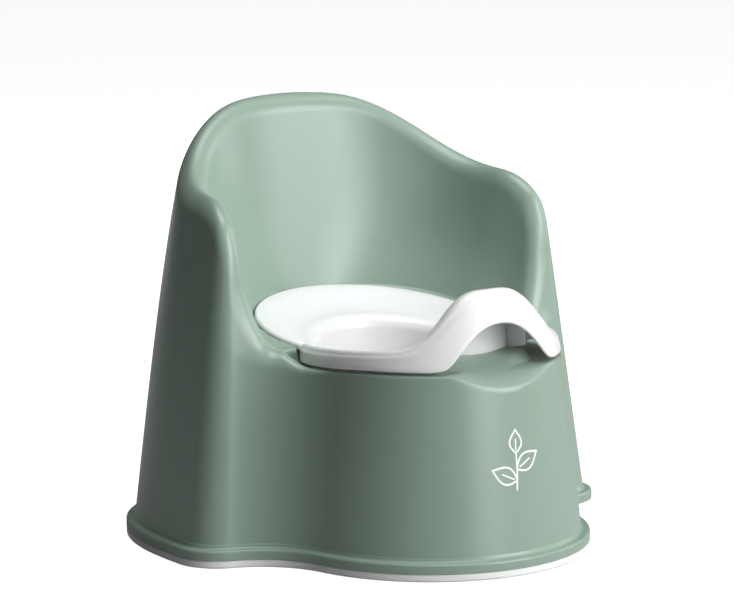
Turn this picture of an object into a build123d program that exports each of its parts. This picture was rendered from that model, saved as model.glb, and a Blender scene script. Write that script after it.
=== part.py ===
from build123d import *
import math
import os

os.makedirs("parts", exist_ok=True)

# Potty training chair, millimetres. Z is up, the open front faces -Y, X is the width.
# The origin is on the floor, at the centre of the footprint.

# ---- driving dimensions ----
width = 380.0                  # across the foot flange
ledge = 6.7                    # how far the foot flange stands out from the wall
strip_height = 5.7             # soft ring under the flange
flange_top = 13.3              # top face of the foot flange
height = 328.0                 # top of the back
wall = 3.0                     # thickness of the moulded walls

# plan outline of the shell wall where it meets the flange
back_y = 168.3                 # rearmost point of the back
back_power = 2.73              # roundness of the back, 2 is an ellipse
wing_front_y = -28.8           # frontmost point of each armrest
wing_radius = 28.9             # round front corner of each armrest
nose_y = -53.3                 # centre of the round front
nose_radius = 115.0
waist_radius = 73.7            # hollow between the round front and an armrest

# draft of the walls, millimetres of lean for each millimetre of height
side_draft = 0.139
back_draft = 0.048
wing_front_draft = 0.098
wing_radius_draft = 0.067
nose_draft = 0.121

# seat
armrest_top = 265.0
seat_rim_z = 157.7             # height of the pot's rim above the origin, on its slope
seat_slope = 0.18              # the rim climbs this much towards the back
rim_radius = 94.5
rim_y = 10.6                   # centre of the rim circle
rim_thickness = 3.0
nose_top = 147.2               # top edge of the round front, under the pot's skirt
scoop_low = 136.5              # lowest point of the finger scoop in that edge
scoop_half_width = 62.0
scoop_dip = 0.3                # fall of the scoop towards the front
rim_roll = 12.0                # rounding of the rim outside
crown = 2.7                    # height that the rolled rim takes off the top
inner_roll = 4.0               # rounding of the rim inside
deck_gap = 8.0                 # free space round the bowl in the seat deck

# pot
bowl_radius = 66.0
bowl_y = -14.0
bowl_base_radius = 50.0
bowl_base_z = 42.0
skirt_bottom = 148.0
guard_top = 208.5
guard_y = -134.0               # where the splash guard is highest
gap_top = 180.0                # top of the finger gap under the splash guard
gap_half_width = 45.0
bowl_wall = 2.5
front_rim_z = 156.0            # rim height in front, beside the splash guard
skirt_end = -8.0               # where the skirt stops on both sides
clearance = 0.5                # between the pot and the shell
strip_width = 12.0             # of the soft ring, seen from below
high = 345.0                   # height to which the walls are drawn before they are trimmed
beyond = 250.0                 # half size of the blocks that only cut
flange_round = 1.6
strip_round = 1.2
bowl_round = 18.0              # rounding of the bowl's base

# seat space at four heights: height, half width, rearmost point, depth of the round back, roundness
seat_sections = (
    (140, 95, 103, 93, 2.0),
    (180, 111, 110, 100, 2.2),
    (220, 122, 116, 100, 2.4),
    (high + 10, 126, 129, 100, 2.5),
)


def outline_sizes(z, grow):
    """Centres and radii of the shell's plan outline at height z, moved outwards by grow."""
    rise = z - flange_top
    half_width = width / 2 - ledge - side_draft * rise
    wing_r = wing_radius - wing_radius_draft * rise
    wing_x = half_width - wing_r
    wing_y = wing_front_y + wing_front_draft * rise + wing_r
    back = back_y - back_draft * rise + grow
    nose_r = nose_radius - nose_draft * rise + grow
    return wing_x, wing_y, wing_r + grow, back, nose_r, waist_radius - grow, half_width + grow


def waist_centre(wing_x, wing_y, wing_r, nose_r, waist_r):
    """Centre of the hollow arc that touches the nose circle and the right wing circle."""
    gap = math.hypot(wing_x, wing_y - nose_y)
    along = ((nose_r + waist_r) ** 2 - (wing_r + waist_r) ** 2 + gap**2) / (2 * gap)
    aside = math.sqrt((nose_r + waist_r) ** 2 - along**2)
    ux, uy = wing_x / gap, (wing_y - nose_y) / gap
    return ux * along + uy * aside, nose_y + uy * along - ux * aside


def toward(centre, target, radius):
    """Point on a circle about centre, in the direction of target."""
    dx, dy = target[0] - centre[0], target[1] - centre[1]
    span = math.hypot(dx, dy)
    return centre[0] + dx / span * radius, centre[1] + dy / span * radius


def flip(point):
    """The same point on the other side of the middle plane."""
    return -point[0], point[1]


def half_round(power, steps):
    """Points of a half superellipse of radius 1, from (1, 0) over (0, 1) to (-1, 0)."""
    points = []
    for step in range(steps + 1):
        turn = math.pi * step / steps
        across = math.copysign(abs(math.cos(turn)) ** (2 / power), math.cos(turn))
        points.append((across, math.sin(turn) ** (2 / power)))
    return points


def shell_outline(z, grow=0.0):
    """Closed plan outline of the shell at height z: nose, waists, wing corners, back."""
    wing_x, wing_y, wing_r, back, nose_r, waist_r, half = outline_sizes(z, grow)
    nose, wing = (0.0, nose_y), (wing_x, wing_y)
    waist = waist_centre(wing_x, wing_y, wing_r, nose_r, waist_r)
    nose_end = toward(nose, waist, nose_r)
    wing_end = toward(waist, wing, waist_r)
    middle = ((nose_end[0] + wing_end[0]) / 2, (nose_end[1] + wing_end[1]) / 2)
    waist_mid = toward(waist, middle, waist_r)
    wing_mid = toward(wing, (half, wing_end[1]), wing_r)
    side = (half, wing_y)
    back_curve = [(half * x, wing_y + (back - wing_y) * y) for x, y in half_round(back_power, 12)]
    with BuildLine() as line:
        ThreePointArc(flip(nose_end), (0, nose_y - nose_r), nose_end)
        ThreePointArc(nose_end, waist_mid, wing_end)
        ThreePointArc(wing_end, wing_mid, side)
        Spline(*back_curve, tangents=[(0, 1), (0, -1)])
        ThreePointArc(flip(side), flip(wing_mid), flip(wing_end))
        ThreePointArc(flip(wing_end), flip(waist_mid), flip(nose_end))
    return line.wires()[0]


def u_outline(half, back, depth, power):
    """Plan outline of the seat space: straight sides, round back, open front."""
    start = back - depth
    front = -220.0
    right = [(half, front), (half, front / 2), (half, start - depth / 3)]
    points = right + [(half * x, start + depth * y) for x, y in half_round(power, 10)]
    points += [flip(point) for point in reversed(right)]
    with BuildLine() as line:
        Line((-half, front), (half, front))
        Spline(*points, tangents=[(0, 1), (0, -1)])
    return line.wires()[0]


def top_profile(drop=0.0):
    """Side view of what is cut away above the back and the armrests."""
    tip_y, tip_z = -30, 196 - drop
    back_z = height + crown - drop
    with BuildSketch(Plane.YZ.offset(-beyond)) as sketch:
        with BuildLine():
            Spline(
                (tip_y, tip_z), (-6, 232 - drop),
                (24, armrest_top - 2 - drop), (62, armrest_top + 1 - drop),
                (98, height - 41 - drop), (122, height - 17 - drop),
                (142, back_z), (beyond, back_z + 2),
                tangents=[(0.3, 1), (1, 0)],
            )
            Polyline((beyond, back_z + 2), (beyond, 400), (-beyond, 400), (-beyond, tip_z), (tip_y, tip_z))
        make_face()
    return sketch


def seat_floor(drop=0.0):
    """Side view of the space above the seat deck."""
    step_y = -6.0
    front_z = nose_top - drop
    deck_z = seat_rim_z - rim_thickness - clearance - drop
    with BuildSketch(Plane.YZ.offset(-beyond)) as sketch:
        with BuildLine():
            Polyline(
                (-beyond, front_z), (step_y, front_z),
                (step_y + 4, deck_z + seat_slope * step_y), (beyond, deck_z + seat_slope * beyond),
                (beyond, 400), (-beyond, 400), (-beyond, front_z),
            )
        make_face()
    return sketch


def front_space(grow=0.0):
    """Side view of the space in front of the armrests and above the round front."""
    low = nose_top - grow
    tip = -12 + grow
    with BuildSketch(Plane.YZ.offset(-beyond)) as sketch:
        with BuildLine():
            Polyline(
                (-beyond, low), (tip - 18, low), (tip - 12, 170), (tip, 215),
                (tip, 400), (-beyond, 400), (-beyond, low),
            )
        make_face()
    return sketch


def seat_space(grow=0.0):
    """The space that a child sits in, open at the front and the top."""
    with BuildPart() as space:
        for z, half, back, depth, power in seat_sections:
            with BuildSketch(Plane.XY.offset(z)):
                add(u_outline(half + grow, back + grow, depth, power))
                make_face()
        loft()
        extrude(seat_floor(grow).sketch, amount=2 * beyond, mode=Mode.INTERSECT)
        extrude(front_space(grow).sketch, amount=2 * beyond)
    return space.part


def shell_block(low, grow=0.0):
    """The solid under the drafted outer walls, from height low upwards, not yet trimmed."""
    with BuildPart() as block:
        for z in (low, high):
            with BuildSketch(Plane.XY.offset(z)):
                add(shell_outline(z, grow))
                make_face()
        loft(ruled=True)
    return block.part


def rim_layer():
    """A thick sloping layer with the pot's rim as its top face."""
    climb = beyond * seat_slope
    with BuildPart() as layer:
        with BuildSketch(Plane.YZ.offset(-beyond)):
            with BuildLine():
                Polyline(
                    (-beyond, seat_rim_z - climb), (beyond, seat_rim_z + climb),
                    (beyond, seat_rim_z + climb - rim_thickness),
                    (-beyond, seat_rim_z - climb - rim_thickness),
                    (-beyond, seat_rim_z - climb),
                )
            make_face()
        extrude(amount=2 * beyond)
    return layer.part


def scoop(grow=0.0):
    """Finger scoop in the front edge: a shallow cylinder that dips towards the front."""
    sag = nose_top - scoop_low
    radius = (scoop_half_width**2 + sag**2) / (2 * sag)
    up = Vector(0, -scoop_dip, 1).normalized()
    edge = Vector(0, nose_y - nose_radius + nose_draft * (scoop_low - flange_top), scoop_low)
    with BuildPart() as cylinder:
        with BuildSketch(Plane(origin=edge + up * radius, z_dir=(0, -1, -scoop_dip))):
            Circle(radius + grow)
        extrude(amount=60, both=True)
    return cylinder.part


# ---- chair shell: one moulding, double walled, open underneath ----
with BuildPart() as chair_core:
    add(shell_block(strip_height - 5, -wall))
    add(seat_space(wall), mode=Mode.SUBTRACT)
    extrude(top_profile(rim_roll + 2 * wall).sketch, amount=2 * beyond, mode=Mode.SUBTRACT)
    add(scoop(wall), mode=Mode.SUBTRACT)

with BuildPart() as chair_shell:
    with BuildSketch(Plane.XY.offset(strip_height)):
        add(shell_outline(flange_top, ledge))
        make_face()
    extrude(amount=flange_top - strip_height)
    fillet(chair_shell.edges().group_by(Axis.Z)[-1], flange_round)
    add(shell_block(flange_top))
    add(seat_space(), mode=Mode.SUBTRACT)
    extrude(top_profile().sketch, amount=2 * beyond, mode=Mode.SUBTRACT)
    add(scoop(), mode=Mode.SUBTRACT)
    # rolled rim along the back and the armrests
    rim_edges = chair_shell.edges().filter_by(lambda edge: edge.bounding_box().min.Z > armrest_top - 40)
    fillet(rim_edges.filter_by(lambda edge: edge.bounding_box().max.Y > back_y - 20), rim_roll)
    rim_edges = chair_shell.edges().filter_by(lambda edge: edge.bounding_box().min.Z > armrest_top - 65)
    fillet(rim_edges.filter_by(lambda edge: 118 < edge.bounding_box().max.Y < 128), inner_roll)
    add(chair_core.part, mode=Mode.SUBTRACT)
    # opening that the bowl hangs through
    with BuildSketch(Plane.XY.offset(100)):
        with Locations((0, bowl_y)):
            Circle(bowl_radius + deck_gap)
    extrude(amount=100, mode=Mode.SUBTRACT)
chair_shell.part.label = "chair_shell"

# ---- anti-slip strip: soft ring under the foot flange ----
with BuildPart() as anti_slip_strip:
    with BuildSketch():
        add(shell_outline(flange_top, ledge - 0.4))
        make_face()
    extrude(amount=strip_height)
    fillet(anti_slip_strip.edges().group_by(Axis.Z)[0], strip_round)
    with BuildSketch():
        add(shell_outline(flange_top, ledge - strip_width))
        make_face()
    extrude(amount=strip_height, mode=Mode.SUBTRACT)
anti_slip_strip.part.label = "anti_slip_strip"


def nose_cone(low, top, grow=0.0):
    """Drafted round block in line with the round front of the shell."""
    with BuildPart() as cone:
        for z in (low, top):
            with BuildSketch(Plane.XY.offset(z)):
                with Locations((0, nose_y)):
                    Circle(nose_radius - nose_draft * (z - flange_top) + grow)
        loft()
    return cone.part


def guard_side(drop=0.0):
    """Side view of the splash guard, from the finger gap over its crest down to the bowl."""
    with BuildSketch(Plane.YZ.offset(-120)) as sketch:
        with BuildLine():
            Line((-180, skirt_bottom - 2 * drop), (-180, guard_top - drop))
            Line((-180, guard_top - drop), (guard_y, guard_top - drop))
            Spline(
                (guard_y, guard_top - drop), (-119, 197 - drop),
                (-104, 172 - drop), (-84, front_rim_z - drop),
                tangents=[(1, 0), (1, -0.35)],
            )
            Line((-84, front_rim_z - drop), (skirt_end, front_rim_z - drop))
            Line((skirt_end, front_rim_z - drop), (skirt_end, skirt_bottom - 2 * drop))
            Line((skirt_end, skirt_bottom - 2 * drop), (-180, skirt_bottom - 2 * drop))
        make_face()
    return sketch


def guard_front(drop=0.0):
    """Front view of the splash guard: a bell that runs out into the rim on both sides."""
    foot = front_rim_z - drop
    with BuildSketch(Plane.XZ.offset(-20)) as sketch:
        with BuildLine():
            Spline(
                (-84, foot), (-62, foot + 12), (-36, foot + 38), (0, guard_top - drop),
                (36, foot + 38), (62, foot + 12), (84, foot),
                tangents=[(1, 0.1), (1, -0.1)],
            )
            Polyline((84, foot), (120, foot), (120, 120), (-120, 120), (-120, foot), (-84, foot))
        make_face()
    return sketch


def hood(inset=0.0):
    """The block under the skirt and the splash guard, or with an inset the space inside it."""
    with BuildPart() as block:
        add(nose_cone(skirt_bottom - 2 * inset, guard_top, -inset))
        extrude(guard_side(inset).sketch, amount=240, mode=Mode.INTERSECT)
        extrude(guard_front(inset).sketch, amount=200, mode=Mode.INTERSECT)
    return block.part


def rim_disc():
    """The round sloping rim, from the skirt's end to the back."""
    with BuildPart() as disc:
        with BuildSketch(Plane.XY.offset(140)):
            with Locations((0, rim_y)):
                Circle(rim_radius)
            with Locations((0, skirt_end - 100)):
                Rectangle(240, 200, mode=Mode.SUBTRACT)
        extrude(amount=60)
        add(rim_layer(), mode=Mode.INTERSECT)
    return disc.part


def bowl(low, high_z, base_radius, top_radius, base_round):
    """A tapered round block with a rounded base."""
    with BuildPart() as block:
        for z, radius in ((low, base_radius), (high_z, top_radius)):
            with BuildSketch(Plane.XY.offset(z)):
                with Locations((0, bowl_y)):
                    Circle(radius)
        loft()
        fillet(block.edges().group_by(Axis.Z)[0], base_round)
    return block.part


def below_rim():
    """Everything under the rim's top face."""
    with BuildPart() as block:
        with BuildSketch(Plane.YZ.offset(-120)):
            with BuildLine():
                Polyline(
                    (-beyond, 0), (-beyond, front_rim_z), (skirt_end, front_rim_z),
                    (beyond, seat_rim_z + seat_slope * beyond), (beyond, 0), (-beyond, 0),
                )
            make_face()
        extrude(amount=240)
    return block.part


# ---- inner potty: one moulding with bowl, rim, skirt and splash guard ----
bowl_top = 182.0               # the bowl's walls are drawn to here, then trimmed at the rim
bowl_outside = bowl(bowl_base_z, bowl_top, bowl_base_radius, bowl_radius + bowl_wall, bowl_round)
bowl_inside = bowl(
    bowl_base_z + bowl_wall, bowl_top + 2, bowl_base_radius - bowl_wall, bowl_radius, bowl_round - 2
)
with BuildPart() as inner_potty:
    add(hood())
    add(hood(rim_thickness), mode=Mode.SUBTRACT)
    # finger gap under the guard
    with BuildSketch(Plane.XZ.offset(-guard_y - 4)):
        with Locations((0, skirt_bottom)):
            Ellipse(gap_half_width, gap_top - skirt_bottom)
    extrude(amount=60, mode=Mode.SUBTRACT)
    add(rim_disc())
    add(bowl_outside.intersect(below_rim()))
    add(bowl_inside, mode=Mode.SUBTRACT)
inner_potty.part.label = "inner_potty"

export_step(chair_shell.part, "parts/chair_shell.step")
export_step(anti_slip_strip.part, "parts/anti_slip_strip.step")
export_step(inner_potty.part, "parts/inner_potty.step")
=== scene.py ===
import math

import bpy
import numpy as np
from mathutils import Matrix, Vector


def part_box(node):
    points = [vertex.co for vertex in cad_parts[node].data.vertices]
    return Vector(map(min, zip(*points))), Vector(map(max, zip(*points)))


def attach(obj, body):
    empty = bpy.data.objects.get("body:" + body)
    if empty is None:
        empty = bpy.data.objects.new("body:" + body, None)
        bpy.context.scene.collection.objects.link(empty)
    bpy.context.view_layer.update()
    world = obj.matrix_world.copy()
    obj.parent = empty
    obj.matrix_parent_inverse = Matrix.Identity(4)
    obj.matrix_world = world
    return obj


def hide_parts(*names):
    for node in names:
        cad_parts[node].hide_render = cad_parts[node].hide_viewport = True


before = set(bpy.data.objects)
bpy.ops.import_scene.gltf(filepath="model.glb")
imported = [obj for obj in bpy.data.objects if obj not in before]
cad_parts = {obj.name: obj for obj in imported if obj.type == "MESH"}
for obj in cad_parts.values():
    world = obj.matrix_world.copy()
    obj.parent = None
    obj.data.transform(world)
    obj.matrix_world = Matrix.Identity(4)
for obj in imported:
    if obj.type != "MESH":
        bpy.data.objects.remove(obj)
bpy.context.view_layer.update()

# A potty training chair. Shapes are worked out in millimetres, and MM turns them into metres.
# A name that ends in _X, _Y, _Z, _REACH or _ANGLE and holds two numbers is the start and end of a ramp.
MM = 0.001
shell_low, shell_high = [np.array(corner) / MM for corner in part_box("chair_shell")]
pot_low, pot_high = [np.array(corner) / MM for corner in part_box("inner_potty")]

# ---- sizes that follow the frame ----
WIDTH = shell_high[0] - shell_low[0]
HEIGHT = shell_high[2]
STRIP_HEIGHT = shell_low[2]
FLANGE_TOP = STRIP_HEIGHT + 7.6
LEDGE = 6.7
NOSE_RADIUS = 115.0
NOSE_Y = shell_low[1] + LEDGE + NOSE_RADIUS
BACK_Y = shell_high[1] - LEDGE
GUARD_TOP = pot_high[2] - 3.5
POT_BASE = pot_low[2]

# ---- outer wall: its outline in plan above the flange, and its lean per millimetre of height ----
BACK_POWER = 2.73
BACK_POWER_DROP = 0.7
WING_FRONT_Y = -28.8
WING_RADIUS = 28.9
WAIST_RADIUS = 73.7
SIDE_DRAFT = 0.139
BACK_DRAFT = 0.048
WING_FRONT_DRAFT = 0.098
WING_RADIUS_DRAFT = 0.067
NOSE_DRAFT = 0.121
WALL = 3.0

# ---- top of the back and the armrests, by the angle from the middle of the back in degrees ----
RIDGE_CENTRE_Y = 10.0
RIDGE_ANGLES = np.array((0, 10, 28, 43, 58, 68, 76, 84, 100), float)
RIDGE_HEIGHTS = np.array((HEIGHT - 1.5, HEIGHT - 2, 319.5, 302.5, 279.5, 270, 266.5, 265, 263))
ARM_ROUND = 56.0
ARM_CUT_Y = -19.0
ARM_CUT_LEAN = 0.1
ARM_CUT_UPRIGHT_FROM = 200.0

# ---- inner wall round the seat ----
SEAT_HALF_WIDTH = 98.0
SEAT_CURVE = 26.0
SEAT_CURVE_FROM = 156.0
SEAT_CURVE_HEIGHT = 66.0
SEAT_DRAFT = 0.02
FLARE = 8.0
FLARE_AT_DECK = 7.0
FLARE_Y = (42.0, -4.0)
FLARE_Z = (215.0, 155.0)
SEAT_BACK_Y = 105.5
SEAT_BACK_DRAFT = 0.15
SEAT_BACK_FROM = 160.0
SEAT_DEPTH = 93.0
SEAT_DEPTH_GAIN = 7.0
SEAT_DEPTH_Z = (150.0, 210.0)
SEAT_POWER = 2.0
SEAT_POWER_GAIN = 0.45
SEAT_POWER_Z = (150.0, 240.0)

# ---- roundings of the shell ----
RIM_ROLL = 14.5
RIM_ROLL_Z = (156.0, 182.0)
INNER_ROLL = 15.0
ARM_ROLL = 7.0
ARM_ROLL_Y = (30.0, -10.0)
DECK_EDGE = 2.2
WAIST_EDGE = 9.8
WAIST_EDGE_X = (92.0, 112.0)
WAIST_EDGE_Y = (-66.0, -36.0)
DECK_HOLLOW = 2.0
ARM_HOLLOW = 5.0
ARM_HOLLOW_Y = (45.0, 15.0)

# ---- deck, its hole and the finger scoop ----
RIM_Z = 158.3
RIM_SLOPE = 0.16
DECK_FRONT = 147.2
SHOULDER_RISE = 9.5
SHOULDER_LEVEL_Y = -8.0
SHOULDER_REACH = (99.0, 119.0)
BESIDE_RIM_REACH = (-0.5, 2.0)
BEHIND_SKIRT_Y = (-16.0, -13.0)
RECESS_DEPTH = 12.0
RECESS_Y = (-17.5, -3.5)
PLATFORM_RISE = 8.5
PLATFORM_OUTER_REACH = (84.0, 72.0)
PLATFORM_INNER_REACH = (50.0, 56.0)
PLATFORM_X = (50.0, 38.0)
PLATFORM_Y = (-92.0, -100.0)
HOLE_RADIUS = 74.0
HOLE_Y = -14.0
HOLE_DIP = 3.0
HOLE_DIP_REACH = (HOLE_RADIUS + 12, HOLE_RADIUS + 4)
HOLE_DIP_ANGLE = (80.0, 50.0)
HOLE_EDGE = 1.4
HOLE_CUT = 2.0
HOLE_LIP_OUT = 2.6
HOLE_LIP_ROLL = 2.2
DECK_CEILING = 175.0
SCOOP_LOW = 136.5
SCOOP_HALF_WIDTH = 62.0
SCOOP_DIP = 0.5
SCOOP_END_Y = -80.0
SCOOP_EDGE = 3.0

# ---- foot flange and anti-slip strip ----
FLANGE_LAP = 4.0
FLANGE_FILLET = 2.2
FLANGE_ROUND = 2.0
FLANGE_LOW_ROUND = 0.5
FLANGE_INNER_ROUND = 0.6
STRIP_SETBACK = 0.2
STRIP_INNER_EDGE = 12.0
STRIP_ROUND = 1.6
STRIP_GROOVES = (4.0, 7.0)

# ---- meshes of the shell: half size of the box in plan, and spacing ----
OUTER_NET = (186.0, 172.0)
OUTER_SPACING = 2.5
INNER_NET = (184.0, 170.0)
INNER_SPACING = 4.0
NET_BELOW_FLANGE = 3.0
KEEP_BELOW_FLANGE = 2.0
RING_STEPS = 720

# ---- bowl and round rim of the pot ----
POT_WALL = 2.5
BOWL_Y = -13.0
BOWL_FLOOR_RADIUS = 48.0
BOWL_FLOOR_ROUND = 15.0
BOWL_LIP_RADIUS = 60.5
BOWL_LIP_ROLL = 12.0
DISH_DEPTH = 7.5
DISH_LEVEL_Y = -20.0
DISH_STRAIGHTNESS = 0.3
POT_RIM_RADIUS = 94.3
POT_RIM_Y = 13.0
RIM_ROLL_RADIUS = 2.2
RIM_EDGE = 3.0
RIM_FLARE = 0.02
EDGE_LEAST = 0.8

# ---- front skirt and splash guard of the pot ----
SKIRT_BOTTOM = 149.2
SKIRT_MIDDLE = SKIRT_BOTTOM + 3
SKIRT_DROP = 5.5
SKIRT_DROP_ANGLE = (55.0, 120.0)
SKIRT_TOP = 156.8
SKIRT_TOP_RISE = 0.118
SKIRT_ROLL = 3.4
SKIRT_CORNER = 6.0
SKIRT_END_Y = -14.0
SKIRT_END_ANGLE = 112.0
SKIRT_END_TURN = math.pi / 2 + math.atan2(SKIRT_END_Y - BOWL_Y, POT_RIM_RADIUS)
SKIRT_END_BLEND = 0.012
GUARD_HALF_ANGLE = 32.0
GUARD_SHARPNESS = 3.5
GUARD_ROLL = 9.5
GUARD_LEAN = 0.16
ARCH_RISE = 32.5
ARCH_HALF_ANGLE = 27.0
ARCH_SHARPNESS = 2.2
ARCH_FOOT_ROUND = 10.0
ARCH_FOOT_DROP = 0.8

# ---- wall under the splash guard ----
SUPPORT_THICKNESS = 2.4
SUPPORT_RADIUS = 61.0
SUPPORT_HALF_ANGLE = 33.0
SUPPORT_FOOT = 154.0
SUPPORT_SINK = 1.5
RIB_ACROSS = 3.0
RIB_LENGTH = 20.0
RIB_SLOPE = 0.25
SUPPORT_BEVEL = 0.5

# ---- printed motif ----
MOTIF_Z = 80.0
INK_LINE = 1.5
INK_THICKNESS = 0.14


# ------------------------------------------------------------------ helpers for shapes
def smooth_step(value):
    """0 below 0, 1 above 1 and an S-curve between."""
    t = np.clip(value, 0, 1)
    return t * t * (3 - 2 * t)


def ramp(value, start, end):
    """Changes smoothly from 0 at start to 1 at end. The start may be the larger of the two."""
    return smooth_step((value - start) / (end - start))


def mix(first, second, share):
    return first + (second - first) * share


def round_max(a, b, radius):
    """Intersection of two distance fields with a round edge."""
    ra = np.maximum(radius + a, 0)
    rb = np.maximum(radius + b, 0)
    return np.minimum(-radius, np.maximum(a, b)) + np.hypot(ra, rb)


def round_min(a, b, radius):
    """Union of two distance fields with a round hollow between them."""
    return -round_max(-a, -b, radius)


def superellipse(u, v, width, depth, power):
    """Signed distance to a superellipse, near its edge. u and v are already divided by its half sizes."""
    u = np.maximum(u, 1e-4)
    v = np.maximum(v, 0)
    size = np.maximum((u**power + v**power) ** (1 / power), 0.3)
    slope = size ** (1 - power) * np.hypot(u ** (power - 1) / width, v ** (power - 1) / depth)
    return (size - 1) / np.maximum(slope, 1e-4)


def arc(centre, radius, first, last, steps):
    """Points of an arc, with its angles in degrees."""
    turns = np.radians(np.linspace(first, last, steps + 1))
    return [(centre[0] + radius * math.cos(t), centre[1] + radius * math.sin(t)) for t in turns]


def unit(vectors):
    return vectors / np.maximum(np.linalg.norm(vectors, axis=1), 1e-9)[:, None]


# ------------------------------------------------------------------ distance field of the shell
def plan_sizes(z):
    """Centres and radii of the outer wall's plan outline at height z."""
    rise = z - FLANGE_TOP
    half = WIDTH / 2 - LEDGE - SIDE_DRAFT * rise
    wing_r = WING_RADIUS - WING_RADIUS_DRAFT * rise
    wing_x = half - wing_r
    wing_y = WING_FRONT_Y + WING_FRONT_DRAFT * rise + wing_r
    back = BACK_Y - BACK_DRAFT * rise
    nose_r = NOSE_RADIUS - NOSE_DRAFT * rise
    gap = np.hypot(wing_x, wing_y - NOSE_Y)
    along = ((nose_r + WAIST_RADIUS) ** 2 - (wing_r + WAIST_RADIUS) ** 2 + gap**2) / (2 * gap)
    aside = np.sqrt((nose_r + WAIST_RADIUS) ** 2 - along**2)
    ux, uy = wing_x / gap, (wing_y - NOSE_Y) / gap
    waist_x = ux * along + uy * aside
    waist_y = NOSE_Y + uy * along - ux * aside
    return half, wing_r, wing_x, wing_y, back, nose_r, waist_x, waist_y


def outer_wall(x, y, z):
    """Distance to the outer wall, positive outside."""
    x = np.abs(x)
    half, wing_r, wing_x, wing_y, back, nose_r, waist_x, waist_y = plan_sizes(z)
    nose = np.hypot(x, y - NOSE_Y) - nose_r
    qx, qy = x - wing_x, wing_y - y
    wing = np.hypot(np.maximum(qx, 0), np.maximum(qy, 0)) + np.minimum(np.maximum(qx, qy), 0) - wing_r
    px, py = x - waist_x, y - waist_y
    waist = WAIST_RADIUS - np.hypot(px, py)
    nose_side = -waist_x * py - (NOSE_Y - waist_y) * px
    wing_side = px * (wing_y - waist_y) - py * (wing_x - waist_x)
    front = np.where((nose_side < 0) & (wing_side < 0), waist, np.minimum(nose, wing))
    power = BACK_POWER - BACK_POWER_DROP * ((z - FLANGE_TOP) / (HEIGHT - FLANGE_TOP)) ** 3
    rear = superellipse(x / half, (y - wing_y) / (back - wing_y), half, back - wing_y, power)
    return np.where(y > wing_y, rear, front)


def seat_wall(x, y, z):
    """Distance to the inner wall round the seat, negative in the space that a child sits in."""
    x = np.abs(x)
    climb = z - SEAT_CURVE_FROM
    half = SEAT_HALF_WIDTH + SEAT_CURVE * np.sin(np.pi / 2 * np.clip(climb / SEAT_CURVE_HEIGHT, 0, 1))
    half = half + SEAT_DRAFT * np.maximum(climb - SEAT_CURVE_HEIGHT, 0)
    half = half + (FLARE + FLARE_AT_DECK * ramp(z, *FLARE_Z)) * ramp(y, *FLARE_Y)
    back = SEAT_BACK_Y + SEAT_BACK_DRAFT * (z - SEAT_BACK_FROM)
    depth = SEAT_DEPTH + SEAT_DEPTH_GAIN * ramp(z, *SEAT_DEPTH_Z)
    power = SEAT_POWER + SEAT_POWER_GAIN * ramp(z, *SEAT_POWER_Z)
    start = back - depth
    return superellipse(x / half, (y - start) / depth, half, depth, power)


def spline_bends(xs, ys):
    """Second derivatives of a cubic spline that starts level and ends straight."""
    n = len(xs)
    rows = np.zeros((n, n))
    right = np.zeros(n)
    steps = np.diff(xs)
    rows[0, 0], rows[0, 1] = 2 * steps[0], steps[0]
    right[0] = 6 * (ys[1] - ys[0]) / steps[0]
    for i in range(1, n - 1):
        rows[i, i - 1 : i + 2] = steps[i - 1], 2 * (steps[i - 1] + steps[i]), steps[i]
        right[i] = 6 * ((ys[i + 1] - ys[i]) / steps[i] - (ys[i] - ys[i - 1]) / steps[i - 1])
    rows[-1, -1] = 1
    return np.linalg.solve(rows, right)


RIDGE_BENDS = spline_bends(RIDGE_ANGLES, RIDGE_HEIGHTS)


def ridge_height(x, y):
    """Height of the wall's top edge, by direction from the middle of the seat."""
    angle = np.degrees(np.arctan2(np.abs(x), y - RIDGE_CENTRE_Y))
    angle = np.clip(angle, RIDGE_ANGLES[0], RIDGE_ANGLES[-1])
    i = np.clip(np.searchsorted(RIDGE_ANGLES, angle) - 1, 0, len(RIDGE_ANGLES) - 2)
    step = RIDGE_ANGLES[i + 1] - RIDGE_ANGLES[i]
    a = (RIDGE_ANGLES[i + 1] - angle) / step
    b = 1 - a
    bend = ((a**3 - a) * RIDGE_BENDS[i] + (b**3 - b) * RIDGE_BENDS[i + 1]) * step**2 / 6
    return a * RIDGE_HEIGHTS[i] + b * RIDGE_HEIGHTS[i + 1] + bend


def top_edge(x, y, z):
    """Distance above the top of the back and the armrests, with their round front corner."""
    above = z - ridge_height(x, y)
    cut = ARM_CUT_Y - ARM_CUT_LEAN * np.maximum(ARM_CUT_UPRIGHT_FROM - z, 0)
    return round_max(above, cut - y, ARM_ROUND)


def skirt_bottom(angle):
    """Height of the pot skirt's lower edge, by the angle from the front in degrees. Its ends are lower."""
    return SKIRT_BOTTOM - SKIRT_DROP * ramp(angle, *SKIRT_DROP_ANGLE)


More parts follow.
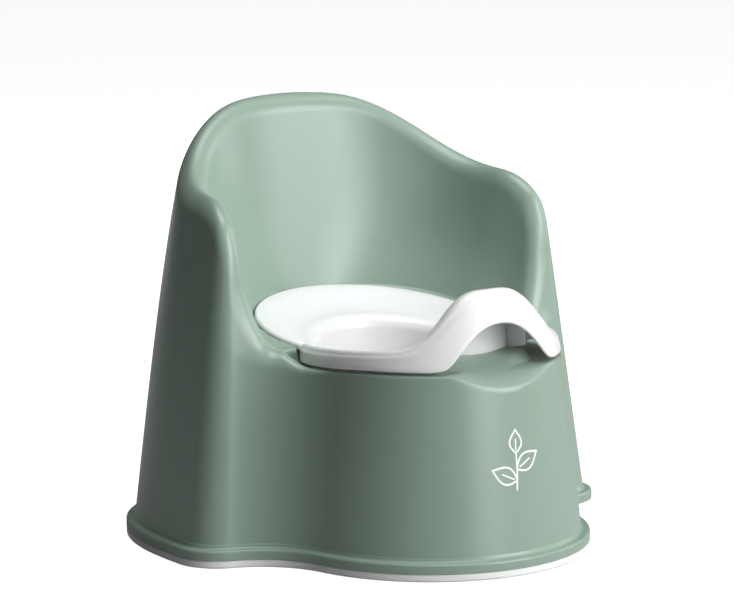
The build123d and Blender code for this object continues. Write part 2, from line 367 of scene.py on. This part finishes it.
def deck_height(x, y):
    """Top face of the seat deck: a recess under the pot, shoulders beside it, low in front."""
    x = np.abs(x)
    reach = np.hypot(x, y - NOSE_Y)
    angle = np.degrees(np.arctan2(x, NOSE_Y - y))
    from_rim = np.hypot(x, y - POT_RIM_Y) - POT_RIM_RADIUS
    from_hole = np.hypot(x, y - HOLE_Y)
    low = DECK_FRONT + skirt_bottom(angle) - SKIRT_BOTTOM
    low = low - HOLE_DIP * ramp(from_hole, *HOLE_DIP_REACH) * ramp(angle, *HOLE_DIP_ANGLE)
    beside_rim = ramp(from_rim, *BESIDE_RIM_REACH)
    behind_skirt = ramp(y, *BEHIND_SKIRT_Y)
    high = DECK_FRONT + SHOULDER_RISE + RIM_SLOPE * np.maximum(y, SHOULDER_LEVEL_Y)
    shoulder = mix(low, high, np.maximum(ramp(reach, *SHOULDER_REACH), behind_skirt * beside_rim))
    recess = RIM_Z - RECESS_DEPTH + RIM_SLOPE * y
    deck = mix(shoulder, recess, (1 - beside_rim) * ramp(y, *RECESS_Y))
    platform = ramp(reach, *PLATFORM_OUTER_REACH) * ramp(reach, *PLATFORM_INNER_REACH)
    return deck + PLATFORM_RISE * platform * ramp(x, *PLATFORM_X) * ramp(y, *PLATFORM_Y)


def scoop(x, y, z):
    """Finger scoop in the front edge of the deck: a shallow cylinder that dips forwards."""
    sag = DECK_FRONT - SCOOP_LOW
    radius = (SCOOP_HALF_WIDTH**2 + sag**2) / (2 * sag)
    edge_y = NOSE_Y - NOSE_RADIUS + NOSE_DRAFT * (SCOOP_LOW - FLANGE_TOP)
    rise = ((z - SCOOP_LOW) - SCOOP_DIP * (y - edge_y)) / math.hypot(1, SCOOP_DIP)
    return np.minimum(radius - np.hypot(x, rise - radius), SCOOP_END_Y - y)


def shell_field(x, y, z):
    """Distance to the moulded chair, negative inside."""
    inner_roll = INNER_ROLL + ARM_ROLL * ramp(y, *ARM_ROLL_Y)
    walls = round_max(-seat_wall(x, y, z), top_edge(x, y, z), inner_roll)
    hollow = DECK_HOLLOW + ARM_HOLLOW * ramp(y, *ARM_HOLLOW_Y)
    upper = round_min(walls, z - deck_height(x, y), hollow)
    edge = DECK_EDGE + WAIST_EDGE * ramp(np.abs(x), *WAIST_EDGE_X) * ramp(y, *WAIST_EDGE_Y)
    edge = mix(edge, RIM_ROLL, ramp(z, *RIM_ROLL_Z))
    solid = round_max(outer_wall(x, y, z), upper, edge)
    return round_max(solid, scoop(x, y, z), SCOOP_EDGE)


# ------------------------------------------------------------------ meshing
def gradient(field, points):
    """A field's values and slopes at some points."""
    eps = 0.05
    value = field(*points.T)
    slope = np.empty_like(points)
    for axis in range(3):
        ahead, behind = points.copy(), points.copy()
        ahead[:, axis] += eps
        behind[:, axis] -= eps
        slope[:, axis] = (field(*ahead.T) - field(*behind.T)) / (2 * eps)
    return value, slope


def mixed_cells(inside):
    """Numbers the grid cells that have corners both inside and outside; every other cell gets -1."""
    cells = tuple(n - 1 for n in inside.shape)
    corners = np.zeros(cells, np.int8)
    for dx in (0, 1):
        for dy in (0, 1):
            for dz in (0, 1):
                corners += inside[dx : cells[0] + dx, dy : cells[1] + dy, dz : cells[2] + dz]
    mixed = (corners > 0) & (corners < 8)
    number = np.full(cells, -1, np.int64)
    number[mixed] = np.arange(mixed.sum())
    return number


def surface_net(field, low, high, step):
    """Vertices and quads of a field's zero surface inside a box, pulled onto the surface."""
    axes = [np.arange(low[i], high[i] + step, step) for i in range(3)]
    x, y, z = np.meshgrid(*axes, indexing="ij", sparse=True)
    values = field(*np.broadcast_arrays(x, y, z))
    number = mixed_cells(values < 0)
    total = np.zeros((number.max() + 1, 3))
    count = np.zeros(number.max() + 1)
    quads = []
    for axis in range(3):
        ahead = [slice(None)] * 3
        behind = [slice(None)] * 3
        ahead[axis], behind[axis] = slice(1, None), slice(None, -1)
        first, second = values[tuple(behind)], values[tuple(ahead)]
        # grid edges along this axis whose ends lie on different sides of the surface
        crossed = np.argwhere((first < 0) != (second < 0))
        a, b = first[tuple(crossed.T)], second[tuple(crossed.T)]
        place = np.stack([axes[i][crossed[:, i]] for i in range(3)], 1)
        place[:, axis] += step * a / (a - b)
        # the four cells round such an edge make one quad, and its crossing pulls on their vertices
        others = [i for i in range(3) if i != axis]
        ring = []
        for shift in ((1, 1), (0, 1), (0, 0), (1, 0)):
            cell = crossed.copy()
            cell[:, others] -= shift
            good = np.all((cell >= 0) & (cell < np.array(number.shape)), axis=1)
            index = np.full(len(cell), -1)
            index[good] = number[tuple(cell[good].T)]
            np.add.at(total, index[good], place[good])
            np.add.at(count, index[good], 1)
            ring.append(index)
        ring = np.stack(ring, 1)
        whole = np.all(ring >= 0, axis=1)
        flip = (a < 0) if axis != 1 else (a >= 0)
        ring[~flip] = ring[~flip][:, ::-1]
        quads.append(ring[whole])
    points = total / count[:, None]
    for _ in range(4):
        value, slope = gradient(field, points)
        points = points - slope * (value / np.maximum((slope**2).sum(1), 0.05))[:, None]
    return points, np.concatenate(quads)


def mesh_normals(points, quads):
    """Vertex normals as the area-weighted mean of the faces round each vertex."""
    normals = np.zeros_like(points)
    face = np.cross(points[quads[:, 2]] - points[quads[:, 0]], points[quads[:, 3]] - points[quads[:, 1]])
    for corner in range(4):
        np.add.at(normals, quads[:, corner], face)
    return unit(normals)


def grid_quads(count, steps, closed_along=False, closed_across=False):
    """Quads of count rows of steps points each. A closed direction joins its last points to its first."""
    index = np.arange(count * steps).reshape(count, steps)
    if closed_along:
        index = np.concatenate([index, index[:1]], axis=0)
    if closed_across:
        index = np.concatenate([index, index[:, :1]], axis=1)
    return np.stack([index[:-1, :-1], index[1:, :-1], index[1:, 1:], index[:-1, 1:]], -1).reshape(-1, 4)


def ring_mesh(path, normals, profile, level=0.0):
    """Sweeps a closed profile of (offset, height above level) round a closed plan path."""
    points = np.empty((len(path), len(profile), 3))
    for i, (offset, height) in enumerate(profile):
        points[:, i, :2] = path + normals * offset
        points[:, i, 2] = height + level
    quads = grid_quads(len(path), len(profile), True, True)
    points = points.reshape(-1, 3)
    return points, quads, mesh_normals(points, quads)


def build_object(name, parts, material):
    """One mesh object from a list of (points in mm, quads, normals)."""
    starts = np.cumsum([0] + [len(part[0]) for part in parts])
    points = np.concatenate([part[0] for part in parts])
    quads = np.concatenate([part[1] + start for part, start in zip(parts, starts)])
    normals = np.concatenate([part[2] for part in parts])
    used = np.zeros(len(points), bool)
    used[quads.ravel()] = True
    renumber = np.cumsum(used) - 1
    points, normals, quads = points[used], normals[used], renumber[quads]
    faces = [[v for i, v in enumerate(quad) if v != quad[i - 1]] for quad in quads.tolist()]
    mesh = bpy.data.meshes.new(name)
    mesh.from_pydata((points * MM).tolist(), [], [face for face in faces if len(face) > 2])
    mesh.polygons.foreach_set("use_smooth", [True] * len(mesh.polygons))
    mesh.normals_split_custom_set_from_vertices(normals.tolist())
    mesh.materials.append(material)
    obj = bpy.data.objects.new(name, mesh)
    bpy.context.collection.objects.link(obj)
    return obj


# ------------------------------------------------------------------ chair shell
def plan_path(z, count):
    """Evenly spaced points of the plan outline at height z, with their outward normals."""
    half, wing_r, wing_x, wing_y, back, nose_r, waist_x, waist_y = plan_sizes(z)
    nose_end = math.degrees(math.atan2(waist_y - NOSE_Y, waist_x))
    waist_start = nose_end + 180
    waist_end = math.degrees(math.atan2(wing_y - waist_y, wing_x - waist_x))
    wing_start = waist_end - 180
    right = arc((0, NOSE_Y), nose_r, -90, nose_end, 399)
    right += arc((waist_x, waist_y), WAIST_RADIUS, waist_start, waist_end, 399)
    right += arc((wing_x, wing_y), wing_r, wing_start, 0, 299)
    power = 2 / BACK_POWER
    for turn in np.linspace(0, np.pi / 2, 3000):
        right.append((half * np.cos(turn) ** power, wing_y + (back - wing_y) * np.sin(turn) ** power))
    right = np.array(right)
    whole = np.concatenate([right, (right * (-1, 1))[::-1]])
    lengths = np.concatenate([[0], np.cumsum(np.hypot(*np.diff(whole, axis=0).T))])
    wanted = np.linspace(0, lengths[-1], count, endpoint=False)
    path = np.stack([np.interp(wanted, lengths, whole[:, i]) for i in (0, 1)], 1)
    tangent = np.roll(path, -1, axis=0) - np.roll(path, 1, axis=0)
    return path, unit(np.stack([tangent[:, 1], -tangent[:, 0]], 1))


def cut_hole(points, quads):
    """Opens the bowl's hole in the deck, with its edge on a circle. Leaves out what is below the foot."""
    centre = points[quads].mean(1)
    reach = np.hypot(centre[:, 0], centre[:, 1] - HOLE_Y)
    in_hole = (reach < HOLE_RADIUS + HOLE_CUT) & (centre[:, 2] < DECK_CEILING)
    above_foot = centre[:, 2] > FLANGE_TOP - KEEP_BELOW_FLANGE
    reach = np.hypot(points[:, 0], points[:, 1] - HOLE_Y)
    stretch = np.maximum((HOLE_RADIUS + HOLE_EDGE) / np.maximum(reach, 1), 1)
    stretch = np.where(points[:, 2] < DECK_CEILING, stretch, 1)
    points[:, 0] *= stretch
    points[:, 1] = HOLE_Y + (points[:, 1] - HOLE_Y) * stretch
    return points, quads[~in_hole & above_foot]


def net_box(half, top):
    """Low and high corner of the box to mesh."""
    return (-half[0], -half[1], FLANGE_TOP - NET_BELOW_FLANGE), (half[0], half[1], top)


def outer_skin():
    points, quads = surface_net(shell_field, *net_box(OUTER_NET, HEIGHT + 4), OUTER_SPACING)
    _, slope = gradient(shell_field, points)
    points, quads = cut_hole(points, quads)
    return points, quads, unit(slope)


def inner_skin():
    """The hidden faces of the double wall and the deck, one wall thickness inside the outer skin."""
    def field(x, y, z):
        return shell_field(x, y, z) + WALL

    points, quads = surface_net(field, *net_box(INNER_NET, HEIGHT), INNER_SPACING)
    _, slope = gradient(field, points)
    points, quads = cut_hole(points, quads[:, ::-1])
    return points, quads, -unit(slope)


def foot_flange():
    """The ledge round the foot, swept with its hollow fillet and round edge."""
    path, normals = plan_path(FLANGE_TOP, RING_STEPS)
    profile = [(-0.8, FLANGE_TOP + FLANGE_LAP)]
    profile += arc((FLANGE_FILLET, FLANGE_TOP + FLANGE_FILLET), FLANGE_FILLET, 180, 270, 5)
    profile += arc((LEDGE - FLANGE_ROUND, FLANGE_TOP - FLANGE_ROUND), FLANGE_ROUND, 90, 0, 6)
    low_round = (LEDGE - FLANGE_LOW_ROUND, STRIP_HEIGHT + FLANGE_LOW_ROUND)
    profile += arc(low_round, FLANGE_LOW_ROUND, 0, -90, 3)
    profile += [(3.0, STRIP_HEIGHT), (-1.0, STRIP_HEIGHT)]
    profile += arc((-WALL - 0.2, STRIP_HEIGHT + FLANGE_INNER_ROUND), FLANGE_INNER_ROUND, 270, 180, 3)
    profile += [(-WALL - 0.8, FLANGE_TOP), (-WALL - 0.6, FLANGE_TOP + FLANGE_LAP)]
    return ring_mesh(path, normals, profile[::-1])


def hole_lip():
    """Round lip along the edge of the hole in the deck."""
    turns = np.linspace(0, 2 * np.pi, 180, endpoint=False)
    outward = np.stack([np.sin(turns), -np.cos(turns)], 1)
    path = (0, HOLE_Y) + outward * (HOLE_RADIUS + HOLE_LIP_OUT)
    middle = deck_height(path[:, 0], path[:, 1]) - WALL / 2
    rolls = np.linspace(0, 2 * np.pi, 12, endpoint=False)
    profile = [(HOLE_LIP_ROLL * math.cos(roll), (WALL / 2 + 0.2) * math.sin(roll)) for roll in rolls]
    return ring_mesh(path, outward, profile, middle)


def make_shell(material):
    parts = [outer_skin(), inner_skin(), foot_flange(), hole_lip()]
    return build_object("chair_shell_skin", parts, material)


# ------------------------------------------------------------------ anti-slip strip
def make_strip(material):
    """Soft ring under the flange, with two shallow grooves in its underside."""
    path, normals = plan_path(FLANGE_TOP, RING_STEPS)
    outside, inside = LEDGE - STRIP_SETBACK, LEDGE - STRIP_INNER_EDGE
    profile = [(outside - 0.6, STRIP_HEIGHT + 0.02), (outside, STRIP_HEIGHT - 0.5)]
    profile += arc((outside - STRIP_ROUND, STRIP_ROUND), STRIP_ROUND, 0, -90, 6)
    for groove in STRIP_GROOVES:
        middle = outside - groove
        profile += [(middle + 0.7, 0), (middle + 0.4, 0.7), (middle - 0.4, 0.7), (middle - 0.7, 0)]
    profile += arc((inside + 1.0, 1.0), 1.0, 270, 180, 4)
    profile += [(inside, STRIP_HEIGHT - 0.4), (inside + 0.4, STRIP_HEIGHT + 0.02)]
    return build_object("anti_slip_ring", [ring_mesh(path, normals, profile[::-1])], material)


# ------------------------------------------------------------------ pot
# A turn is a direction from the middle of the bowl, in radians from the front.
def nose_reach(turn, z, inset=0.0):
    """Distance from the bowl's middle to the cone of the round front, which leans back more at the guard."""
    radius = NOSE_RADIUS - NOSE_DRAFT * (z - FLANGE_TOP) - inset - GUARD_LEAN * max(z - SKIRT_MIDDLE, 0)
    apart = (BOWL_Y - NOSE_Y) * math.cos(turn)
    return apart + math.sqrt(apart**2 - (BOWL_Y - NOSE_Y) ** 2 + radius**2)


def rim_reach(turn):
    """Distance from the bowl's middle to the edge of the round rim."""
    apart = (POT_RIM_Y - BOWL_Y) * math.cos(turn)
    return -apart + math.sqrt(apart**2 - (POT_RIM_Y - BOWL_Y) ** 2 + POT_RIM_RADIUS**2)


def nose_angle(turn):
    """Direction of a place on the skirt from the middle of the round front, in degrees from the front."""
    reach = nose_reach(turn, SKIRT_MIDDLE)
    ahead = NOSE_Y - BOWL_Y + reach * math.cos(turn)
    return math.degrees(math.atan2(reach * math.sin(abs(turn)), ahead))


def bowl_outline(turn):
    """Points from the middle of the bowl's floor up to its rolled lip."""
    floor = POT_BASE + POT_WALL
    outline = [(0.0, floor), (12.0, floor), (26.0, floor)]
    corner = (BOWL_FLOOR_RADIUS - BOWL_FLOOR_ROUND, floor + BOWL_FLOOR_ROUND)
    outline += arc(corner, BOWL_FLOOR_ROUND, -90, -8, 7)
    lip_y = BOWL_Y - HOLE_RADIUS * math.cos(turn)
    dish = RIM_Z - DISH_DEPTH + RIM_SLOPE * max(lip_y, DISH_LEVEL_Y)
    foot = outline[-1]
    top = (BOWL_LIP_RADIUS, dish - BOWL_LIP_ROLL - 1.5)
    for share in (0.25, 0.5, 0.75, 1.0):
        outline.append((mix(foot[0], top[0], share), mix(foot[1], top[1], share)))
    lip = (BOWL_LIP_RADIUS + BOWL_LIP_ROLL, dish - BOWL_LIP_ROLL - 0.6)
    return outline + arc(lip, BOWL_LIP_ROLL, 172, 98, 7)


def dish_outline(start, crest, straightness):
    """Points that climb from the bowl's lip to the crest of the rim or the guard, in a soft S-curve."""
    outline = []
    for share in np.linspace(0, 1, 19)[1:]:
        climb = mix(float(smooth_step(share)), share, straightness)
        outline.append((mix(start[0], crest[0], share), mix(start[1], crest[1], climb)))
    return outline


def skirt_edge(turn, angle):
    """Height of the skirt's lower edge: the finger gap's arch in front, and a round corner at each end."""
    arch = ARCH_RISE * max(1 - (angle / ARCH_HALF_ANGLE) ** ARCH_SHARPNESS, -1.0)
    arch = 0.5 * (arch + math.hypot(arch, ARCH_FOOT_ROUND)) - ARCH_FOOT_DROP
    to_end = (SKIRT_END_TURN - abs(turn)) * POT_RIM_RADIUS
    inset = SKIRT_CORNER - min(max(to_end, 0), SKIRT_CORNER)
    corner = SKIRT_CORNER - math.sqrt(SKIRT_CORNER**2 - inset**2)
    return float(skirt_bottom(angle)) + POT_WALL / 2 + max(arch, 0) + corner


def guard_profile(turn):
    """Radial section of the pot's upper face, from the bowl's middle to the edge: (reach, height) points."""
    at_front = float(ramp(abs(turn), SKIRT_END_TURN + SKIRT_END_BLEND, SKIRT_END_TURN - SKIRT_END_BLEND))
    angle = nose_angle(turn)
    bell = math.exp(-((angle / GUARD_HALF_ANGLE) ** GUARD_SHARPNESS))
    rim = rim_reach(turn)
    rim_top = RIM_Z + RIM_SLOPE * (BOWL_Y - rim * math.cos(turn))
    skirt_top = SKIRT_TOP + SKIRT_TOP_RISE * (SKIRT_END_ANGLE - min(angle, SKIRT_END_ANGLE))
    top = mix(rim_top, mix(skirt_top, GUARD_TOP, bell), at_front)
    roll = mix(RIM_ROLL_RADIUS, mix(SKIRT_ROLL, GUARD_ROLL, bell), at_front)
    crest = mix(rim - roll, nose_reach(turn, top, roll), at_front)
    outline = bowl_outline(turn)
    outline += dish_outline(outline[-1], (crest, top), DISH_STRAIGHTNESS * (1 - bell * at_front))
    outline += arc((crest, top - roll), roll, 90, 8, 8)[1:]
    edge_top = outline[-1][1]
    edge_bottom = mix(rim_top - RIM_EDGE, skirt_edge(turn, angle), at_front)
    edge_bottom = min(edge_bottom, edge_top - EDGE_LEAST)
    for z in np.linspace(edge_top, edge_bottom, 9)[1:]:
        outline.append((mix(rim + RIM_FLARE * (edge_top - z), nose_reach(turn, z), at_front), z))
    return np.array(outline)


def pot_section(turn):
    """Closed radial section of the pot: upper face, round edge, lower face."""
    upper = guard_profile(turn)
    tangent = unit(np.gradient(upper, axis=0))
    inward = np.stack([tangent[:, 1], -tangent[:, 0]], 1)
    inward[0] = (0, -1)
    lower = upper + inward * POT_WALL
    lower[:, 0] = np.maximum(lower[:, 0], 0)
    centre = (upper[-1] + lower[-1]) / 2
    across = (upper[-1] - lower[-1]) / 2
    end = []
    for degrees in (36, 72, 108, 144):
        roll = math.radians(degrees)
        end.append(centre + across * math.cos(roll) + tangent[-1] * POT_WALL / 2 * math.sin(roll))
    return np.concatenate([upper, np.array(end), lower[::-1]])


def pot_turns():
    """Directions of the radial sections, closer together at the skirt's ends and beside the arch."""
    turns = list(np.linspace(0, math.pi, 121))
    turns += list(np.linspace(SKIRT_END_TURN - 0.08, SKIRT_END_TURN + 0.03, 31))
    turns += list(np.linspace(math.radians(14), math.radians(30), 33))
    turns = np.unique(np.round(turns, 5))
    return np.concatenate([turns, -turns[1:-1][::-1]])


def pot_skin():
    rows = []
    for turn in pot_turns():
        reach, z = pot_section(turn).T
        rows.append(np.stack([reach * math.sin(turn), BOWL_Y - reach * math.cos(turn), z], 1))
    points = np.array(rows)
    count, steps = points.shape[:2]
    quads = grid_quads(count, steps, closed_along=True)
    for column in (0, steps - 1):
        quads[quads % steps == column] = column
    points = points.reshape(-1, 3)
    return points, quads, mesh_normals(points, quads)


def dish_height(x, y):
    """Height of the pot's upper face at a place in plan between the bowl and the guard's crest."""
    turn = math.atan2(x, BOWL_Y - y)
    outline = guard_profile(turn)
    rising = outline[len(bowl_outline(turn)) : int(np.argmax(outline[:, 1]))]
    return float(np.interp(math.hypot(x, y - BOWL_Y), rising[:, 0], rising[:, 1]))


def support_panel(path, foot_slope):
    """Upright panel under the guard, along a plan path. Its foot climbs by foot_slope per millimetre of y."""
    tangent = unit(np.gradient(path, axis=0))
    half = np.stack([tangent[:, 1], -tangent[:, 0]], 1) * SUPPORT_THICKNESS / 2
    rows = []
    for near, far, point in zip(path - half, path + half, path):
        top = dish_height(*point) - SUPPORT_SINK
        foot = min(SUPPORT_FOOT + foot_slope * abs(point[1] - path[0][1]), top - 1)
        near_foot, far_foot = mix(near, far, 0.2), mix(near, far, 0.8)
        rows.append([(*near, top), (*near, foot + SUPPORT_BEVEL), (*near_foot, foot),
                     (*far_foot, foot), (*far, foot + SUPPORT_BEVEL), (*far, top)])
    points = np.array(rows)
    count, steps = points.shape[:2]
    index = np.arange(count * steps).reshape(count, steps)
    caps = index[[0, -1]]
    caps[1] = caps[1][::-1]
    quads = np.concatenate([grid_quads(count, steps), caps[:, [0, 1, 4, 5]]])
    points = points.reshape(-1, 3)
    return points, quads, mesh_normals(points, quads)


def support_wall():
    """Curved wall under the splash guard, with a short rib at each end."""
    turns = np.radians(np.linspace(-SUPPORT_HALF_ANGLE, SUPPORT_HALF_ANGLE, 45))
    wall = (0, NOSE_Y) + SUPPORT_RADIUS * np.stack([np.sin(turns), -np.cos(turns)], 1)
    parts = [support_panel(wall, 0.0)]
    for start, side in ((wall[-1], 1), (wall[0], -1)):
        rib = start + np.linspace(0, 1, 8)[:, None] * (side * RIB_ACROSS, -RIB_LENGTH)
        parts.append(support_panel(rib, RIB_SLOPE))
    return parts


def make_pot(material):
    return build_object("inner_potty_skin", [pot_skin()] + support_wall(), material)


# ------------------------------------------------------------------ printed motif: a small leaf sprig
def leaf_outline(base, along, length, width):
    """Closed outline of a pointed leaf."""
    aside = np.array([-along[1], along[0]])
    t = np.linspace(0, 1, 28)
    bulge = width * np.sin(np.pi * t**0.85) ** 1.15
    one = base + np.outer(t * length, along) + np.outer(bulge, aside)
    two = base + np.outer(t * length, along) - np.outer(bulge, aside)
    return np.concatenate([one, two[::-1][1:-1]])


def ribbon(path, closed, width):
    """A thin printed line on the round front, along a path of (across, up) points."""
    path = np.array(path)
    if closed:
        tangent = np.roll(path, -1, axis=0) - np.roll(path, 1, axis=0)
    else:
        tangent = np.gradient(path, axis=0)
    side = unit(np.stack([tangent[:, 1], -tangent[:, 0]], 1)) * width / 2
    rows = []
    for share, lift in ((-1, 0.02), (-0.9, INK_THICKNESS), (0.9, INK_THICKNESS), (1, 0.02)):
        across, up = (path + side * share).T
        z = MOTIF_Z + up
        radius = NOSE_RADIUS - NOSE_DRAFT * (z - FLANGE_TOP)
        turn = across / radius
        reach = radius + lift
        rows.append(np.stack([reach * np.sin(turn), NOSE_Y - reach * np.cos(turn), z], 1))
    points = np.stack(rows, 1)
    quads = grid_quads(*points.shape[:2], closed_along=closed)
    points = points.reshape(-1, 3)
    return points, quads, mesh_normals(points, quads)


def make_motif(material):
    stem = np.array([(1.2 * math.sin(t * 2.2), -19 + 27 * t) for t in np.linspace(0, 1, 24)])
    parts = [ribbon(stem, False, INK_LINE)]
    # each leaf: its place on the stem, direction in degrees, length and half width
    for place, degrees, length, width in ((-1, 88, 17, 5.4), (13, 28, 23, 6.2), (6, 156, 23, 6.2)):
        base = stem[place]
        along = np.array([math.cos(math.radians(degrees)), math.sin(math.radians(degrees))])
        parts.append(ribbon(leaf_outline(base, along, length, width), True, INK_LINE))
        vein = [base + along * length * t for t in np.linspace(0.12, 0.62, 8)]
        parts.append(ribbon(vein, False, INK_LINE * 0.8))
    return build_object("leaf_print", parts, material)


# ------------------------------------------------------------------ materials
PLASTIC_IOR = 1.49
GLOW_THROUGH_RADIUS = (1.0, 0.97, 0.93)
GLOW_THROUGH_SCALE = 0.006
# scale and detail of each noise pattern
FLOW_NOISE = (9.0, 3.0)
GLOSS_NOISE = (38.0, 5.0)
GRAIN_NOISE = (900.0, 2.0)
GRAIN_DEPTH = 0.0002
FLOOR_ALBEDO = 0.42
FLOOR_GLOW = 0.93


def noise(material, place, scale, detail):
    """Strength of a noise pattern that is fixed to the object."""
    texture = material.node_tree.nodes.new("ShaderNodeTexNoise")
    texture.inputs["Scale"].default_value = scale
    texture.inputs["Detail"].default_value = detail
    material.node_tree.links.new(place.outputs["Object"], texture.inputs["Vector"])
    return texture.outputs["Fac"]


def plastic(name, colour, second, roughness, spread, grain, subsurface=0.0):
    """Moulded plastic: faint flow marks, fine mould texture and slightly uneven gloss."""
    material = bpy.data.materials.new(name)
    material.use_nodes = True
    nodes, links = material.node_tree.nodes, material.node_tree.links
    shader = nodes["Principled BSDF"]
    shader.inputs["IOR"].default_value = PLASTIC_IOR
    if subsurface:
        shader.inputs["Subsurface Weight"].default_value = subsurface
        shader.inputs["Subsurface Radius"].default_value = GLOW_THROUGH_RADIUS
        shader.inputs["Subsurface Scale"].default_value = GLOW_THROUGH_SCALE
    place = nodes.new("ShaderNodeTexCoord")
    blend = nodes.new("ShaderNodeMix")
    blend.data_type = "RGBA"
    blend.inputs[6].default_value = (*colour, 1)
    blend.inputs[7].default_value = (*second, 1)
    links.new(noise(material, place, *FLOW_NOISE), blend.inputs[0])
    links.new(blend.outputs[2], shader.inputs["Base Color"])
    level = nodes.new("ShaderNodeMapRange")
    level.inputs["From Min"].default_value = 0.3
    level.inputs["From Max"].default_value = 0.7
    level.inputs["To Min"].default_value = roughness - spread
    level.inputs["To Max"].default_value = roughness + spread
    links.new(noise(material, place, *GLOSS_NOISE), level.inputs["Value"])
    links.new(level.outputs["Result"], shader.inputs["Roughness"])
    bump = nodes.new("ShaderNodeBump")
    bump.inputs["Strength"].default_value = grain
    bump.inputs["Distance"].default_value = GRAIN_DEPTH
    links.new(noise(material, place, *GRAIN_NOISE), bump.inputs["Height"])
    links.new(bump.outputs["Normal"], shader.inputs["Normal"])
    return material


def floor_material():
    """A pale floor: it looks nearly white, but throws only a little light back up."""
    material = bpy.data.materials.new("pale_floor")
    material.use_nodes = True
    nodes, links = material.node_tree.nodes, material.node_tree.links
    shader = nodes["Principled BSDF"]
    shader.inputs["Base Color"].default_value = (FLOOR_ALBEDO, FLOOR_ALBEDO, FLOOR_ALBEDO, 1)
    shader.inputs["Roughness"].default_value = 0.7
    shader.inputs["Specular IOR Level"].default_value = 0.0
    shader.inputs["Emission Color"].default_value = (1, 1, 1, 1)
    path = nodes.new("ShaderNodeLightPath")
    glow = nodes.new("ShaderNodeMath")
    glow.operation = "MULTIPLY"
    glow.inputs[1].default_value = FLOOR_GLOW
    links.new(path.outputs["Is Camera Ray"], glow.inputs[0])
    links.new(glow.outputs[0], shader.inputs["Emission Strength"])
    return material


# ------------------------------------------------------------------ stage, in metres
def make_floor():
    bpy.ops.mesh.primitive_plane_add(size=60, location=(0, 0, -0.0002))
    floor = bpy.context.object
    floor.name = "floor"
    floor.data.materials.append(floor_material())


def soft_box(name, position, target, size, power):
    """A rectangular area light that points at a target."""
    light = bpy.data.lights.new(name, "AREA")
    light.shape = "RECTANGLE"
    light.size, light.size_y = size
    light.energy = power
    obj = bpy.data.objects.new(name, light)
    obj.location = position
    obj.rotation_euler = (Vector(target) - Vector(position)).to_track_quat("-Z", "Y").to_euler()
    bpy.context.collection.objects.link(obj)
    return obj


def make_lights():
    world = bpy.data.worlds.new("studio")
    world.use_nodes = True
    world.node_tree.nodes["Background"].inputs["Color"].default_value = (1, 1, 1, 1)
    world.node_tree.nodes["Background"].inputs["Strength"].default_value = 0.02
    bpy.context.scene.world = world
    soft_box("key", (1.3, -2.2, 1.3), (0, 0, 0.15), (1.6, 1.6), 60)
    soft_box("top", (0.2, -0.2, 2.2), (0, 0, 0.1), (1.4, 1.4), 30)
    soft_box("front", (0.45, -2.6, 0.45), (0, 0, 0.15), (1.1, 0.9), 15)
    soft_box("right", (2.5, -0.4, 0.9), (0, 0, 0.15), (1.4, 1.4), 12)
    behind = soft_box("behind", (0.7, 2.6, 0.55), (0, 0.1, 0.15), (1.2, 0.9), 22)
    behind.visible_glossy = False


def make_camera():
    camera = bpy.data.cameras.new("camera")
    camera.sensor_width = 36
    camera.lens = 167.85
    camera.shift_x = -0.0336
    camera.shift_y = 0.0523
    camera.clip_end = 200
    obj = bpy.data.objects.new("camera", camera)
    back = Vector((-0.56995, -0.80215, 0.17813))
    right = Vector((0.81514, -0.57926, 0))
    turn = Matrix((right, back.cross(right), back)).transposed().to_4x4()
    obj.matrix_world = Matrix.Translation(Vector((-1.4819, -2.0902, 0.6131))) @ turn
    bpy.context.collection.objects.link(obj)
    bpy.context.scene.camera = obj


green = plastic("sage_plastic", (0.268, 0.364, 0.300), (0.276, 0.372, 0.308), 0.30, 0.01, 0.015)
white = plastic("pot_white_plastic", (0.86, 0.86, 0.86), (0.875, 0.875, 0.87), 0.25, 0.01, 0.015, 0.5)
rubber = plastic("strip_rubber", (0.90, 0.91, 0.89), (0.93, 0.94, 0.92), 0.55, 0.05, 0.15, 0.3)
ink = plastic("white_ink", (0.88, 0.89, 0.88), (0.92, 0.93, 0.92), 0.45, 0.05, 0.15)

shell = make_shell(green)
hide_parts("chair_shell")
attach(shell, "chair")

strip = make_strip(rubber)
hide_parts("anti_slip_strip")
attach(strip, "chair")

pot = make_pot(white)
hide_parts("inner_potty")
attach(pot, "potty")

motif = make_motif(ink)
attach(motif, "chair")

make_floor()
make_lights()
make_camera()
bpy.context.scene.view_settings.view_transform = "Standard"
